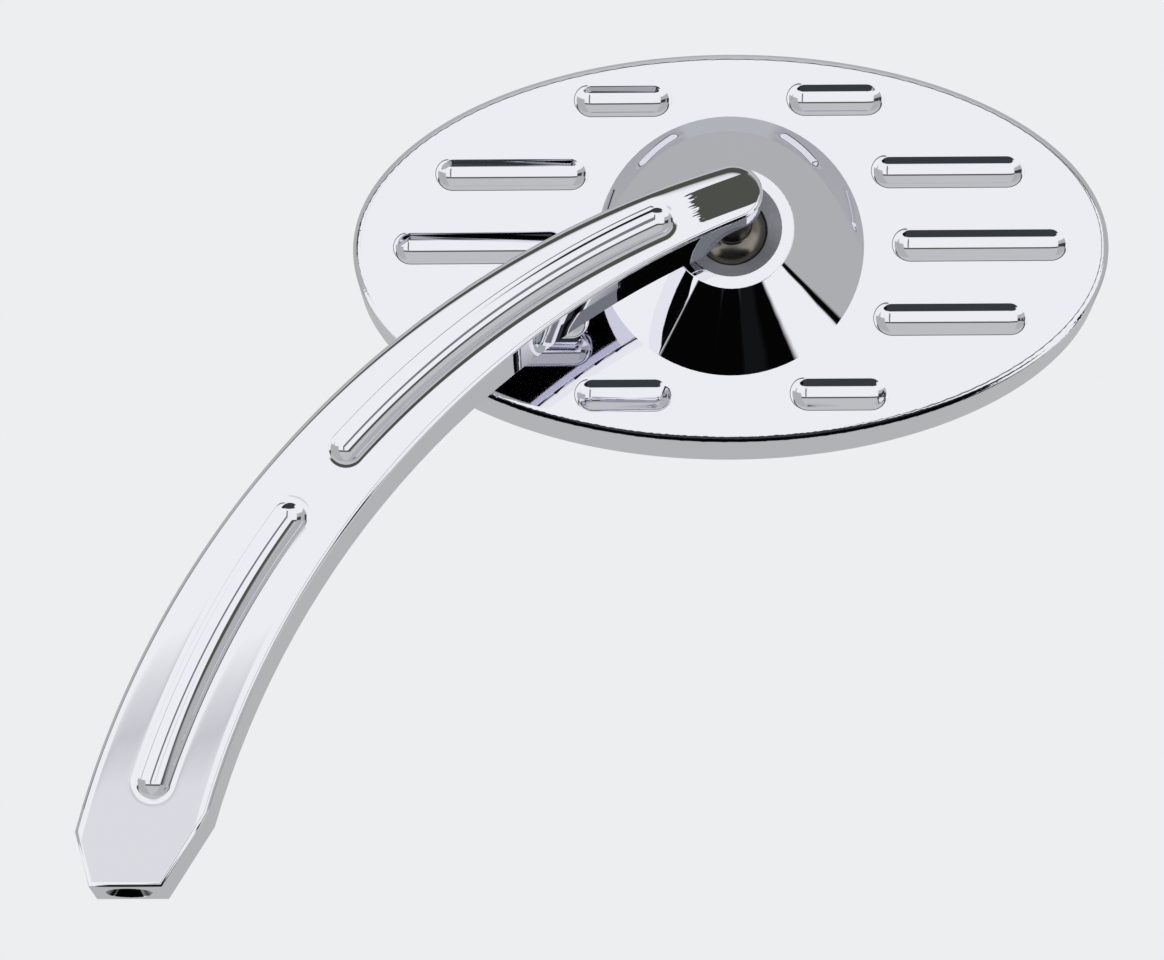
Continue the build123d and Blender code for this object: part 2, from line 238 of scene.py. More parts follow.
# the distance inwards from the arm's outline, and the way out of it
def nearestEdge(tree, face, middleTurn, shape):
    outerOffset, outerReach = fromCentre(tree, face, shape["outerCentre"])
    innerOffset, innerReach = fromCentre(tree, face, shape["innerCentre"])
    tipOffset, tipReach = fromCentre(tree, face, shape["tipCentre"])
    outer = addNode(tree, "ShaderNodeMath", values={0: shape["outerRadius"] * mm}, links={1: outerReach},
                    operation="SUBTRACT")
    inner = addNode(tree, "ShaderNodeMath", values={1: shape["innerRadius"] * mm}, links={0: innerReach},
                    operation="SUBTRACT")
    sides = addNode(tree, "ShaderNodeMath", links={0: outer, 1: inner}, operation="MINIMUM")
    tip = addNode(tree, "ShaderNodeMath", values={0: shape["tipRadius"] * mm}, links={1: tipReach},
                  operation="SUBTRACT")
    # short of the tip this adds a whole metre, so that the tip's arc is never the nearest there
    beforeTip = addNode(tree, "ShaderNodeMath", values={1: math.radians(shape["tipAngle"])},
                        links={0: middleTurn}, operation="GREATER_THAN")
    tipOnly = addNode(tree, "ShaderNodeMath", links={0: beforeTip, 1: tip}, operation="ADD")
    depth = addNode(tree, "ShaderNodeMath", links={0: sides, 1: tipOnly}, operation="MINIMUM")
    outerOut = addNode(tree, "ShaderNodeVectorMath", links={0: outerOffset}, operation="NORMALIZE")
    innerIn = addNode(tree, "ShaderNodeVectorMath", links={0: innerOffset}, operation="NORMALIZE")
    innerOut = addNode(tree, "ShaderNodeVectorMath", values={"Scale": -1.0}, links={0: innerIn},
                       operation="SCALE")
    tipOut = addNode(tree, "ShaderNodeVectorMath", links={0: tipOffset}, operation="NORMALIZE")
    isInner = addNode(tree, "ShaderNodeMath", links={0: inner, 1: outer}, operation="LESS_THAN")
    sideOut = addNode(tree, "ShaderNodeMixRGB", links={"Fac": isInner, "Color1": outerOut,
                                                       "Color2": innerOut})
    isTip = addNode(tree, "ShaderNodeMath", links={0: tipOnly, 1: sides}, operation="LESS_THAN")
    outward = addNode(tree, "ShaderNodeMixRGB", links={"Fac": isTip, "Color1": sideOut, "Color2": tipOut})
    return depth, outward


# the way and the distance from the nearer groove's middle line, an arc with round ends
def nearestGroove(tree, middleOffset, middleTurn, shape):
    nearAway, near = None, None
    for first, last in shape["grooves"]:
        along = addNode(tree, "ShaderNodeClamp", links={"Value": middleTurn},
                        values={"Min": math.radians(first), "Max": math.radians(last)})
        across = addNode(tree, "ShaderNodeMath", links={0: along}, operation="COSINE")
        up = addNode(tree, "ShaderNodeMath", links={0: along}, operation="SINE")
        way = addNode(tree, "ShaderNodeCombineXYZ", links={"X": across, "Z": up})
        line = addNode(tree, "ShaderNodeVectorMath", values={"Scale": shape["middleRadius"] * mm},
                       links={0: way}, operation="SCALE")
        away = addNode(tree, "ShaderNodeVectorMath", links={0: middleOffset, 1: line}, operation="SUBTRACT")
        reach = addNode(tree, "ShaderNodeVectorMath", links={0: away}, operation="LENGTH").outputs["Value"]
        if near:
            isNearer = addNode(tree, "ShaderNodeMath", links={0: reach, 1: near}, operation="LESS_THAN")
            away = addNode(tree, "ShaderNodeMixRGB", links={"Fac": isNearer, "Color1": nearAway,
                                                            "Color2": away})
            reach = addNode(tree, "ShaderNodeMath", links={0: near, 1: reach}, operation="MINIMUM")
        nearAway, near = away, reach
    return nearAway, near


# how far the face has sunk at a distance from an edge, so that its tilt fades over the reach
def sunkEdge(tree, distance, tilt, reach):
    share = addNode(tree, "ShaderNodeMath", values={1: -1 / reach}, links={0: distance}, operation="MULTIPLY")
    fade = addNode(tree, "ShaderNodeMath", links={0: share}, operation="EXPONENT")
    return addNode(tree, "ShaderNodeMath", values={1: -math.tan(math.radians(tilt)) * reach},
                   links={0: fade}, operation="MULTIPLY")


# the height of the face where the wheel dubbed it over, beside its outline and its grooves
def dubbedHeight(tree, depth, rim, shape, values):
    radius = shape["edgeRadius"] * mm
    flatStart = addNode(tree, "ShaderNodeMath", values={1: radius}, links={0: depth}, operation="SUBTRACT")
    fromEdge = addNode(tree, "ShaderNodeMath", values={1: -radius}, links={0: flatStart},
                       operation="MAXIMUM")
    sunk = sunkEdge(tree, fromEdge, values["edgeTilt"], values["edgeReach"])
    fromRim = addNode(tree, "ShaderNodeMath", values={1: 0.0}, links={0: rim}, operation="MAXIMUM")
    sunkRim = sunkEdge(tree, fromRim, values["grooveTilt"], values["grooveReach"])
    # the rim keeps the tilt a little way into the groove, against its own roll
    within = addNode(tree, "ShaderNodeClamp", values={"Min": -values["rimWidth"], "Max": 0.0},
                     links={"Value": rim})
    slope = addNode(tree, "ShaderNodeMath", links={0: within}, operation="MULTIPLY_ADD",
                    values={1: 0.5 / (shape["rimRadius"] * mm),
                            2: math.tan(math.radians(values["grooveTilt"]))})
    heldBack = addNode(tree, "ShaderNodeMath", links={0: within, 1: slope, 2: sunkRim},
                       operation="MULTIPLY_ADD")
    return addNode(tree, "ShaderNodeMath", links={0: sunk, 1: heldBack}, operation="ADD")


# the rounded front edge's normal, from the rounding's centre line to the surface, and where it holds
def edgeNormal(tree, depth, outward, parts, shape, values):
    radius = shape["edgeRadius"] * mm
    outDepth = addNode(tree, "ShaderNodeMath", values={0: radius}, links={1: depth}, operation="SUBTRACT")
    outPart = addNode(tree, "ShaderNodeMath", values={1: 0.0}, links={0: outDepth}, operation="MAXIMUM")
    frontDepth = addNode(tree, "ShaderNodeMath", values={0: shape["frontY"] * mm + radius},
                         links={1: parts.outputs["Y"]}, operation="SUBTRACT")
    frontPart = addNode(tree, "ShaderNodeMath", values={1: 0.0}, links={0: frontDepth}, operation="MAXIMUM")
    ahead = addNode(tree, "ShaderNodeVectorMath", values={0: frontWay}, links={"Scale": frontPart},
                    operation="SCALE")
    aside = addNode(tree, "ShaderNodeVectorMath", links={0: outward, "Scale": outPart}, operation="SCALE")
    normal = addNode(tree, "ShaderNodeVectorMath", links={0: ahead, 1: aside}, operation="ADD")
    onEdge = addNode(tree, "ShaderNodeMath", values={1: radius * values["edgeSlack"]}, links={0: depth},
                     operation="LESS_THAN")
    aboveFoot = addNode(tree, "ShaderNodeMath", values={1: shape["shoulderTop"] * mm},
                        links={0: parts.outputs["Z"]}, operation="GREATER_THAN")
    mask = addNode(tree, "ShaderNodeMath", links={0: onEdge, 1: aboveFoot}, operation="MULTIPLY")
    return normal, mask


# a groove's: the cutter's round bottom, then the rim rolled over the other way
def grooveNormal(tree, away, near, rim, shape):
    bottomSine = addNode(tree, "ShaderNodeMath", values={1: 1 / (shape["cutterRadius"] * mm)},
                         links={0: near}, operation="MULTIPLY")
    rimSine = addNode(tree, "ShaderNodeMath", values={1: -1 / (shape["rimRadius"] * mm)}, links={0: rim},
                      operation="MULTIPLY")
    sine = addNode(tree, "ShaderNodeMath", links={0: bottomSine, 1: rimSine}, operation="MINIMUM")
    square = addNode(tree, "ShaderNodeMath", links={0: sine, 1: sine}, operation="MULTIPLY")
    rest = addNode(tree, "ShaderNodeMath", values={0: 1.0}, links={1: square}, operation="SUBTRACT")
    cosine = addNode(tree, "ShaderNodeMath", links={0: rest}, operation="SQRT")
    awayUnit = addNode(tree, "ShaderNodeVectorMath", links={0: away}, operation="NORMALIZE")
    inwardPart = addNode(tree, "ShaderNodeMath", values={1: -1.0}, links={0: sine}, operation="MULTIPLY")
    inward = addNode(tree, "ShaderNodeVectorMath", links={0: awayUnit, "Scale": inwardPart},
                     operation="SCALE")
    ahead = addNode(tree, "ShaderNodeVectorMath", values={0: frontWay}, links={"Scale": cosine},
                    operation="SCALE")
    normal = addNode(tree, "ShaderNodeVectorMath", links={0: inward, 1: ahead}, operation="ADD")
    mask = addNode(tree, "ShaderNodeMath", values={1: 0.0}, links={0: rim}, operation="LESS_THAN")
    return normal, mask


# where the tip's face leans back: a patch whose end is broken up by streaks
def tipPatch(tree, middleReach, middleTurn, shape, values):
    radius = shape["middleRadius"] * mm
    streakAlong = addNode(tree, "ShaderNodeMath", values={1: radius / values["streakLength"]},
                          links={0: middleTurn}, operation="MULTIPLY")
    streakAcross = addNode(tree, "ShaderNodeMath", values={1: 1 / values["streakWidth"]},
                           links={0: middleReach}, operation="MULTIPLY")
    brushed = addNode(tree, "ShaderNodeCombineXYZ", links={"X": streakAlong, "Y": streakAcross})
    streaks = addNode(tree, "ShaderNodeTexNoise", values={"Scale": 1.0, "Detail": 2.0},
                      links={"Vector": brushed})
    low, high = values["streakRange"]
    ragged = addNode(tree, "ShaderNodeMapRange", links={"Value": streaks.outputs["Fac"]},
                     values={"From Min": low, "From Max": high, "To Min": -values["tipRagged"],
                             "To Max": values["tipRagged"]})
    degrees = addNode(tree, "ShaderNodeMath", values={1: math.degrees(1)}, links={0: middleTurn},
                      operation="MULTIPLY")
    raggedTurn = addNode(tree, "ShaderNodeMath", links={0: degrees, 1: ragged}, operation="ADD")
    start, whole = values["tipEnd"]
    patch = addNode(tree, "ShaderNodeMapRange", values={"From Min": start, "From Max": whole},
                    links={"Value": raggedTurn}, interpolation_type="SMOOTHSTEP")
    off = addNode(tree, "ShaderNodeMath", values={1: radius}, links={0: middleReach}, operation="SUBTRACT")
    for name in ("tipLow", "tipHigh"):
        start, whole = values[name]
        within = addNode(tree, "ShaderNodeMapRange", links={"Value": off},
                         values={"From Min": start * mm, "From Max": whole * mm})
        patch = addNode(tree, "ShaderNodeMath", links={0: patch, 1: within}, operation="MULTIPLY")
    return patch


# the plate's tint, and a darker tint inside the threaded hole: its nearly bare metal, and painted shade of
# the hole as well
def boreBareAndShadedTone(tree, place, parts, tint, shape, values):
    radial = addNode(tree, "ShaderNodeVectorMath", values={1: (1, 1, 0)}, links={0: place},
                     operation="MULTIPLY")
    fromAxis = addNode(tree, "ShaderNodeVectorMath", links={0: radial}, operation="LENGTH")
    inBore = addNode(tree, "ShaderNodeMath", values={1: shape["boreRadius"] * mm},
                     links={0: fromAxis.outputs["Value"]}, operation="LESS_THAN")
    lowEnough = addNode(tree, "ShaderNodeMath", values={1: shape["boreDepth"] * mm},
                        links={0: parts.outputs["Z"]}, operation="LESS_THAN")
    # painted shade: the whole inside of the hole is darkened, besides its bare metal
    bareAndShaded = addNode(tree, "ShaderNodeMath", links={0: inBore, 1: lowEnough}, operation="MULTIPLY")
    return addNode(tree, "ShaderNodeMixRGB", links={"Fac": bareAndShaded},
                   values={"Color1": linear(tint), "Color2": linear(values["boreBareAndShadedTint"])})


# the arm's plate also shows the edges that the wheel dubbed over, and the tip that leans back a little
def buffedPlate(plate, shape, values):
    mat, tree = newMaterial("buffed chrome plate")
    place = addNode(tree, "ShaderNodeTexCoord").outputs["Object"]
    parts = addNode(tree, "ShaderNodeSeparateXYZ", links={0: place})
    rough, waves = plateSurface(tree, place, plate)
    face = addNode(tree, "ShaderNodeVectorMath", values={1: (1, 0, 1)}, links={0: place},
                   operation="MULTIPLY")
    middleOffset, middleReach, middleTurn = aboutMiddle(tree, face, shape)
    depth, outward = nearestEdge(tree, face, middleTurn, shape)
    away, near = nearestGroove(tree, middleOffset, middleTurn, shape)
    rim = addNode(tree, "ShaderNodeMath", values={1: shape["grooveHalfWidth"] * mm}, links={0: near},
                  operation="SUBTRACT")
    inFront = addNode(tree, "ShaderNodeMath", values={1: shape["frontY"] * mm * values["frontShare"]},
                      links={0: parts.outputs["Y"]}, operation="LESS_THAN")

    # on the rounded edge and in the grooves the facets are too coarse for a mirror,
    # so the normals there are the drawing's own
    shaped = addNode(tree, "ShaderNodeNewGeometry").outputs["Normal"]
    for normal, mask in (edgeNormal(tree, depth, outward, parts, shape, values),
                         grooveNormal(tree, away, near, rim, shape)):
        here = addNode(tree, "ShaderNodeMath", links={0: mask, 1: inFront}, operation="MULTIPLY")
        shaped = addNode(tree, "ShaderNodeMixRGB", links={"Fac": here, "Color1": shaped, "Color2": normal})
    exact = addNode(tree, "ShaderNodeVectorMath", links={0: shaped}, operation="NORMALIZE")
    dubbed = dubbedHeight(tree, depth, rim, shape, values)
    height = addNode(tree, "ShaderNodeMath", links={0: dubbed, 1: waves}, operation="ADD")
    buffed = addNode(tree, "ShaderNodeBump", values={"Strength": 1.0, "Distance": 1.0},
                     links={"Height": height, "Normal": exact})

    # away from the front the plate has the waves alone
    plain = addNode(tree, "ShaderNodeBump", values={"Strength": 1.0, "Distance": 1.0},
                    links={"Height": waves})
    faced = addNode(tree, "ShaderNodeMixRGB", links={"Fac": inFront, "Color1": plain, "Color2": buffed})
    patch = tipPatch(tree, middleReach, middleTurn, shape, values)
    frontPatch = addNode(tree, "ShaderNodeMath", links={0: patch, 1: inFront}, operation="MULTIPLY")
    lean = addNode(tree, "ShaderNodeMath", values={1: math.tan(math.radians(values["tipTilt"]))},
                   links={0: frontPatch}, operation="MULTIPLY")
    upward = addNode(tree, "ShaderNodeCombineXYZ", links={"Z": lean})
    leant = addNode(tree, "ShaderNodeVectorMath", links={0: faced, 1: upward}, operation="ADD")
    normal = addNode(tree, "ShaderNodeVectorMath", links={0: leant}, operation="NORMALIZE")
    # darker inside the threaded hole: bare metal and painted shade
    tone = boreBareAndShadedTone(tree, place, parts, plate["tint"], shape, values)
    bsdf = addNode(tree, "ShaderNodeBsdfPrincipled", values={"Metallic": 1.0},
                   links={"Base Color": tone, "Roughness": rough, "Normal": normal})
    addNode(tree, "ShaderNodeOutputMaterial", links={"Surface": bsdf})
    return mat


armChrome = buffedPlate(chromeValues, armFace, buffing)

polish = {
    "weld": 0.001 * mm,  # corners closer than this are one
    "armFold": 75,  # a fold over this many degrees is a sharp edge
    "headFold": 40,
    "holeFold": 30,  # and round the threaded hole
    "holeReach": 7 * mm,
    "level": 0.002 * mm,  # a facet this level along a flat's own line lies in the flat
    "armFlats": [Vector((0, 1, 0)), Vector((0, 0, 1))],  # the lines that the flats face along
    "headFlats": [headFacing],
    "roundingCuts": 2,  # through each facet of the arm's front rounding
    "roundingSlack": 0.02,  # mm
}


# distance inwards from the arm's outline and the way out of it, in mm on x and z
def outlineAt(place, shape):
    outer = place - Vector(shape["outerCentre"])
    inner = place - Vector(shape["innerCentre"])
    tip = place - Vector(shape["tipCentre"])
    middle = place - Vector(shape["middleCentre"])
    edges = [(shape["outerRadius"] - outer.length, outer.normalized()),
             (inner.length - shape["innerRadius"], -inner.normalized())]
    if math.degrees(math.atan2(middle.y, middle.x)) < shape["tipAngle"]:
        edges.append((shape["tipRadius"] - tip.length, tip.normalized()))
    return min(edges, key=lambda edge: edge[0])


# the front edge's rounding, cut finer and set on its true arc
def roundFrontEdge(skin, shape, values):
    radius = shape["edgeRadius"]
    slack = values["roundingSlack"]
    wallY = shape["frontY"] + radius

    def inRounding(corner):
        if corner.co.z < shape["shoulderTop"] * mm:
            return False
        if not shape["frontY"] - slack < corner.co.y / mm < wallY + slack:
            return False
        return outlineAt(corner.co.xz / mm, shape)[0] < radius + slack

    def crosses(edge):
        first, last = edge.verts
        return abs(first.co.y - last.co.y) / mm > slack * 2 and inRounding(first) and inRounding(last)

    rungs = [edge for edge in skin.edges if crosses(edge)]
    bmesh.ops.subdivide_edges(skin, edges=rungs, cuts=values["roundingCuts"], use_grid_fill=True)
    for corner in skin.verts:
        height = corner.co.y / mm
        if shape["frontY"] + slack < height < wallY - slack and inRounding(corner):
            depth, outward = outlineAt(corner.co.xz / mm, shape)
            aside, ahead = radius - depth, wallY - height
            grown = radius / math.hypot(aside, ahead)
            step = outward * aside * (grown - 1)
            corner.co += Vector((step.x, ahead * (1 - grown), step.y)) * mm


# the fold in radians over which an edge at a place is sharp
def foldAt(place, fold, values):
    return math.radians(values["holeFold"] if place.length < values["holeReach"] else fold)


# a copy of a piece's facets joined to one closed skin, with its sharp edges marked
def closedSkin(name, fold, values, shape):
    mesh = nodes[name].data.copy()
    storedNormals = mesh.attributes.get("custom_normal")
    if storedNormals:
        mesh.attributes.remove(storedNormals)
    skin = bmesh.new()
    skin.from_mesh(mesh)
    bmesh.ops.remove_doubles(skin, verts=skin.verts, dist=values["weld"])
    if shape:
        roundFrontEdge(skin, shape, values)
    for face in skin.faces:
        face.smooth = True
    for edge in skin.edges:
        sharpFrom = foldAt(edge.verts[0].co, fold, values)
        edge.smooth = len(edge.link_faces) == 2 and edge.calc_face_angle(0) < sharpFrom
    skin.to_mesh(mesh)
    skin.free()
    return mesh


# normals that follow the larger facets, so that a rounding runs into its flats without a break
def weightedSkin(name, mesh):
    raw = bpy.data.objects.new(name + "_raw", mesh)
    scene.collection.objects.link(raw)
    weighted = raw.modifiers.new("weighted", "WEIGHTED_NORMAL")
    weighted.mode = "FACE_AREA_WITH_ANGLE"
    weighted.keep_sharp = True
    graph = bpy.context.evaluated_depsgraph_get()
    finished = bpy.data.meshes.new_from_object(raw.evaluated_get(graph), depsgraph=graph)
    bpy.data.objects.remove(raw)
    return finished


# exact normals on every flat, and on the smooth edges that meet one
def levelFlats(mesh, flats, fold, values):
    faceFlat = {}
    cornerFlats = {}
    for face in mesh.polygons:
        for flat in flats:
            rises = [mesh.vertices[index].co.dot(flat) for index in face.vertices]
            if max(rises) - min(rises) < values["level"]:
                outward = flat if face.normal.dot(flat) > 0 else -flat
                faceFlat[face.index] = outward
                for index in face.vertices:
                    cornerFlats.setdefault(index, []).append(outward)
    normals = [corner.vector.copy() for corner in mesh.corner_normals]
    for face in mesh.polygons:
        for loop in face.loop_indices:
            if face.index in faceFlat:
                normals[loop] = faceFlat[face.index]
                continue
            corner = mesh.loops[loop].vertex_index
            for outward in cornerFlats.get(corner, []):
                if face.normal.angle(outward, math.pi) < foldAt(mesh.vertices[corner].co, fold, values):
                    normals[loop] = outward
    mesh.normals_split_custom_set(normals)


def polishedPiece(name, body, mat, flats, fold, values, shape=None):
    mesh = weightedSkin(name, closedSkin(name, fold, values, shape))
    levelFlats(mesh, flats, fold, values)
    mesh.materials.clear()
    mesh.materials.append(mat)
    piece = bpy.data.objects.new(name + "_polished", mesh)
    scene.collection.objects.link(piece)
    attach(piece, body)
    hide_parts(name)


polishedPiece("mirror_arm", "arm", armChrome, polish["armFlats"], polish["armFold"], polish, armFace)
polishedPiece("mirror_housing", "head", chrome, polish["headFlats"], polish["headFold"], polish)
print("arm and housing plated")

# the thread cut in the arm's foot, 5/16-18: one ridge that climbs its bore
threadSize = {
    "Bore radius": 3.3 * mm,
    "Ridge height": 0.42 * mm,
    "Pitch": 25.4 / 18 * mm,
    "Start": 1.9 * mm,
    "Turns": 10.5,
}
stepsPerTurn = 48
ridgeSides = 3


def threadTree(sizes, mat):
    tree = bpy.data.node_groups.new("thread", "GeometryNodeTree")
    for name, value in sizes.items():
        socket = tree.interface.new_socket(name, in_out="INPUT", socket_type="NodeSocketFloat")
        socket.default_value = value
    tree.interface.new_socket("Geometry", in_out="OUTPUT", socket_type="NodeSocketGeometry")
    given = addNode(tree, "NodeGroupInput").outputs
    rise = addNode(tree, "ShaderNodeMath", links={0: given["Pitch"], 1: given["Turns"]}, operation="MULTIPLY")
    helix = addNode(tree, "GeometryNodeCurveSpiral", values={"Resolution": stepsPerTurn, "Reverse": True},
                    links={"Rotations": given["Turns"], "Start Radius": given["Bore radius"],
                           "End Radius": given["Bore radius"], "Height": rise})
    lift = addNode(tree, "ShaderNodeCombineXYZ", links={"Z": given["Start"]})
    placed = addNode(tree, "GeometryNodeTransform", links={"Geometry": helix, "Translation": lift})
    upright = addNode(tree, "GeometryNodeSetCurveNormal", links={"Curve": placed}, mode="Z_UP")
    crest = addNode(tree, "GeometryNodeCurvePrimitiveCircle", values={"Resolution": ridgeSides},
                    links={"Radius": given["Ridge height"]}, mode="RADIUS")
    ridge = addNode(tree, "GeometryNodeCurveToMesh", values={"Fill Caps": True},
                    links={"Curve": upright, "Profile Curve": crest})
    real = addNode(tree, "GeometryNodeRealizeInstances", links={"Geometry": ridge})
    dressed = addNode(tree, "GeometryNodeSetMaterial", values={"Material": mat}, links={"Geometry": real})
    addNode(tree, "NodeGroupOutput", links={"Geometry": dressed})
    return tree


def makeThread(sizes, mat):
    tree = threadTree(sizes, mat)
    blank = bpy.data.objects.new("thread_blank", bpy.data.meshes.new("thread_blank"))
    scene.collection.objects.link(blank)
    modifier = blank.modifiers.new("thread", "NODES")
    modifier.node_group = tree
    for item in tree.interface.items_tree:
        if item.in_out == "INPUT":
            modifier[item.identifier] = sizes[item.name]
    graph = bpy.context.evaluated_depsgraph_get()
    mesh = bpy.data.meshes.new_from_object(blank.evaluated_get(graph), depsgraph=graph)
    bpy.data.objects.remove(blank)
    thread = bpy.data.objects.new("arm_thread_ridge", mesh)
    scene.collection.objects.link(thread)
    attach(thread, "arm")


makeThread(threadSize, armChrome)
print("thread cut")

# bearing steel, turned: brown-grey, with rings left by the tool round the stud's own line,
# drawn coarser than a real tool's so that they show
turnedValues = {
    "tint": "#8C8880",
    "dark": "#7E7A72",
    "roughness": 0.2,
    "ringPitch": 2.2 * mm,
    "ringHeight": 0.004 * mm,
}


def turnedSteel(values):
    mat, tree = newMaterial("turned steel")
    place = addNode(tree, "ShaderNodeTexCoord")
    low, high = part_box("ball_stud")
    centre = (low + high) / 2
    about = addNode(tree, "ShaderNodeMapping", values={"Location": (-centre.x, 0, -centre.z)},
                    links={"Vector": place.outputs["Object"]}, vector_type="POINT")
    ringScale = math.tau / 20 / values["ringPitch"]  # at a scale of 1 the rings are tau / 20 m apart
    rings = addNode(tree, "ShaderNodeTexWave",
                    values={"Scale": ringScale, "Distortion": 0.6, "Detail": 2.0, "Detail Scale": 3.0},
                    links={"Vector": about}, wave_type="RINGS", rings_direction="Y")
    tone = addNode(tree, "ShaderNodeMixRGB", links={"Fac": rings.outputs["Fac"]},
                   values={"Color1": linear(values["dark"]), "Color2": linear(values["tint"])})
    bump = addNode(tree, "ShaderNodeBump", values={"Strength": 1.0, "Distance": values["ringHeight"]},
                   links={"Height": rings.outputs["Fac"]})
    bsdf = addNode(tree, "ShaderNodeBsdfPrincipled",
                   values={"Metallic": 1.0, "Roughness": values["roughness"]},
                   links={"Base Color": tone, "Normal": bump})
    addNode(tree, "ShaderNodeOutputMaterial", links={"Surface": bsdf})
    return mat


steel = turnedSteel(turnedValues)
dress("ball_stud", steel)
dress("retainer_plate", steel)

# spring steel, hardened and oiled: darker, with an even wet film over patches that differ in tone and
# roughness
springValues = {
    "tint": "#66676A",
    "scale": "#4B4846",
    "roughness": (0.22, 0.4),
    "film": 0.5,
    "filmRoughness": 0.12,
    "patch": 2.5 * mm,
}


def springSteel(values):
    mat, tree = newMaterial("oiled spring steel")
    place = addNode(tree, "ShaderNodeTexCoord")
    patches = addNode(tree, "ShaderNodeTexNoise", values={"Scale": 1 / values["patch"], "Detail": 4.0},
                      links={"Vector": place.outputs["Object"]})
    tone = addNode(tree, "ShaderNodeMixRGB", links={"Fac": patches.outputs["Fac"]},
                   values={"Color1": linear(values["scale"]), "Color2": linear(values["tint"])})
    smoothest, roughest = values["roughness"]
    rough = addNode(tree, "ShaderNodeMapRange", values={"To Min": smoothest, "To Max": roughest},
                    links={"Value": patches.outputs["Fac"]})
    bsdf = addNode(tree, "ShaderNodeBsdfPrincipled",
                   values={"Metallic": 1.0, "Coat Weight": values["film"],
                           "Coat Roughness": values["filmRoughness"]},
                   links={"Base Color": tone, "Roughness": rough})
    addNode(tree, "ShaderNodeOutputMaterial", links={"Surface": bsdf})
    return mat


oiledSteel = springSteel(springValues)
dress("retainer_screws", oiledSteel)
dress("disc_springs", oiledSteel)

# acetal resin, moulded: dark grey, with the low sheen of a greasy plastic
acetalValues = {
    "tint": "#8E9096",
    "shade": "#70727A",
    "roughness": 0.42,
    "ior": 1.48,
    "grain": 0.4 * mm,
    "grainHeight": 0.004 * mm,
}


def acetalResin(values):
    mat, tree = newMaterial("acetal resin")
    place = addNode(tree, "ShaderNodeTexCoord")
    grain = addNode(tree, "ShaderNodeTexNoise", values={"Scale": 1 / values["grain"], "Detail": 2.0},
                    links={"Vector": place.outputs["Object"]})
    tone = addNode(tree, "ShaderNodeMixRGB", links={"Fac": grain.outputs["Fac"]},
                   values={"Color1": linear(values["shade"]), "Color2": linear(values["tint"])})
    bump = addNode(tree, "ShaderNodeBump", values={"Strength": 1.0, "Distance": values["grainHeight"]},
                   links={"Height": grain.outputs["Fac"]})
    bsdf = addNode(tree, "ShaderNodeBsdfPrincipled",
                   values={"IOR": values["ior"], "Roughness": values["roughness"]},
                   links={"Base Color": tone, "Normal": bump})
    addNode(tree, "ShaderNodeOutputMaterial", links={"Surface": bsdf})
    return mat


acetal = acetalResin(acetalValues)
dress("ball_liner", acetal)
dress("pressure_cup", acetal)

# float glass silvered on its back: a faintly green mirror, with a frosted edge where it was ground
glassValues = {
    "tint": "#E9EEEC",
    "edge": "#AFC0B8",
    "edgeRoughness": 0.45,
    "faceCosine": 0.95,  # under it a facet belongs to the ground edge
    "film": 0.012,  # roughness where dirt lies thickest
    "filmRange": (0.4, 0.8),  # the noise's values where it is clean and thickest
    "filmPatch": 18 * mm,
    "waveLength": 40 * mm,
    "waveHeight": 0.0006 * mm,
}


def silveredGlass(facing, values):
    mat, tree = newMaterial("silvered glass")
    place = addNode(tree, "ShaderNodeTexCoord")
    cosine = addNode(tree, "ShaderNodeVectorMath", values={1: facing}, links={0: place.outputs["Normal"]},
                     operation="DOT_PRODUCT")
    level = addNode(tree, "ShaderNodeMath", links={0: cosine.outputs["Value"]}, operation="ABSOLUTE")
    ground = addNode(tree, "ShaderNodeMath", values={1: values["faceCosine"]}, links={0: level},
                     operation="LESS_THAN")
    tone = addNode(tree, "ShaderNodeMixRGB", links={"Fac": ground},
                   values={"Color1": linear(values["tint"]), "Color2": linear(values["edge"])})
    film = addNode(tree, "ShaderNodeTexNoise", values={"Scale": 1 / values["filmPatch"], "Detail": 4.0},
                   links={"Vector": place.outputs["Object"]})
    clean, thickest = values["filmRange"]
    dirt = addNode(tree, "ShaderNodeMapRange", links={"Value": film.outputs["Fac"]},
                   values={"From Min": clean, "From Max": thickest, "To Min": 0.0,
                           "To Max": values["film"]})
    rough = addNode(tree, "ShaderNodeMath", values={1: values["edgeRoughness"]},
                    links={0: ground, 2: dirt}, operation="MULTIPLY_ADD")
    waves = addNode(tree, "ShaderNodeTexNoise", values={"Scale": 1 / values["waveLength"], "Detail": 0.0},
                    links={"Vector": place.outputs["Object"]})
    bump = addNode(tree, "ShaderNodeBump", values={"Strength": 1.0, "Distance": values["waveHeight"]},
                   links={"Height": waves.outputs["Fac"]})
    bsdf = addNode(tree, "ShaderNodeBsdfPrincipled", values={"Metallic": 1.0},
                   links={"Base Color": tone, "Roughness": rough, "Normal": bump})
    addNode(tree, "ShaderNodeOutputMaterial", links={"Surface": bsdf})
    return mat


dress("mirror_glass", silveredGlass(headFacing, glassValues))

# closed-cell foam: matt black, with small round cells
foamValues = {
    "tint": "#1C1C1D",
    "wall": "#2A2A2B",
    "roughness": 0.9,
    "cell": 0.5 * mm,
    "cellDepth": 0.12 * mm,
}


